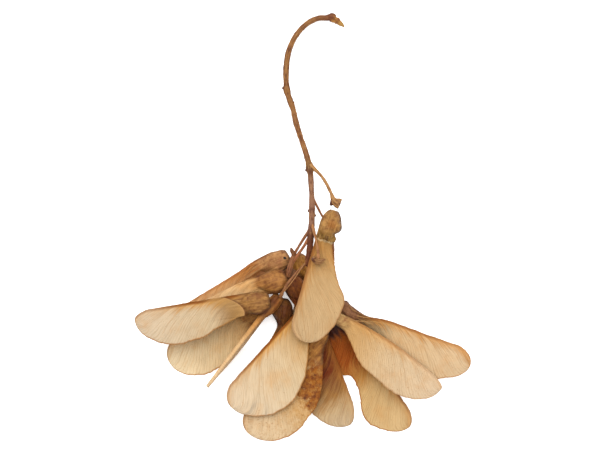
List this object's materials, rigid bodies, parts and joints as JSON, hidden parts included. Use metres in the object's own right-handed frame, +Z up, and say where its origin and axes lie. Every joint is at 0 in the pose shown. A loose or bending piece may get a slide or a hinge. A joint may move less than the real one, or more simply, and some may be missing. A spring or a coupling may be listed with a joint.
{
  "type": "maple samara bunch",
  "caption": "Dried bunch of winged maple fruit hanging from one thin curved stem, lying flat.",
  "frame": {"origin": "centre of the bunch's outline, on the surface that it lies on", "axes": "+Y from the fruit towards the bare end of the stem, +Z up out of the surface, +X to the right as seen from above"},
  "size_m": [0.0934, 0.1192, 0.0148],
  "materials": {
    "samara": "dry and papery, with veins",
    "stem": "dry bark, slightly glossy"
  },
  "bodies": {
    "root": {"stem": "stem", "samara_left_back": "samara", "samara_left_middle": "samara", "samara_left_front": "samara", "samara_left_under": "samara", "samara_left_upright": "samara", "samara_centre_front": "samara", "samara_centre_back": "samara", "samara_lower_left": "samara", "samara_lower_left_back": "samara", "samara_lower_middle": "samara", "samara_lower_middle_back": "samara", "samara_lower_right_torn": "samara", "samara_right_front": "samara", "samara_right_back": "samara"}
  },
  "joints": []
}
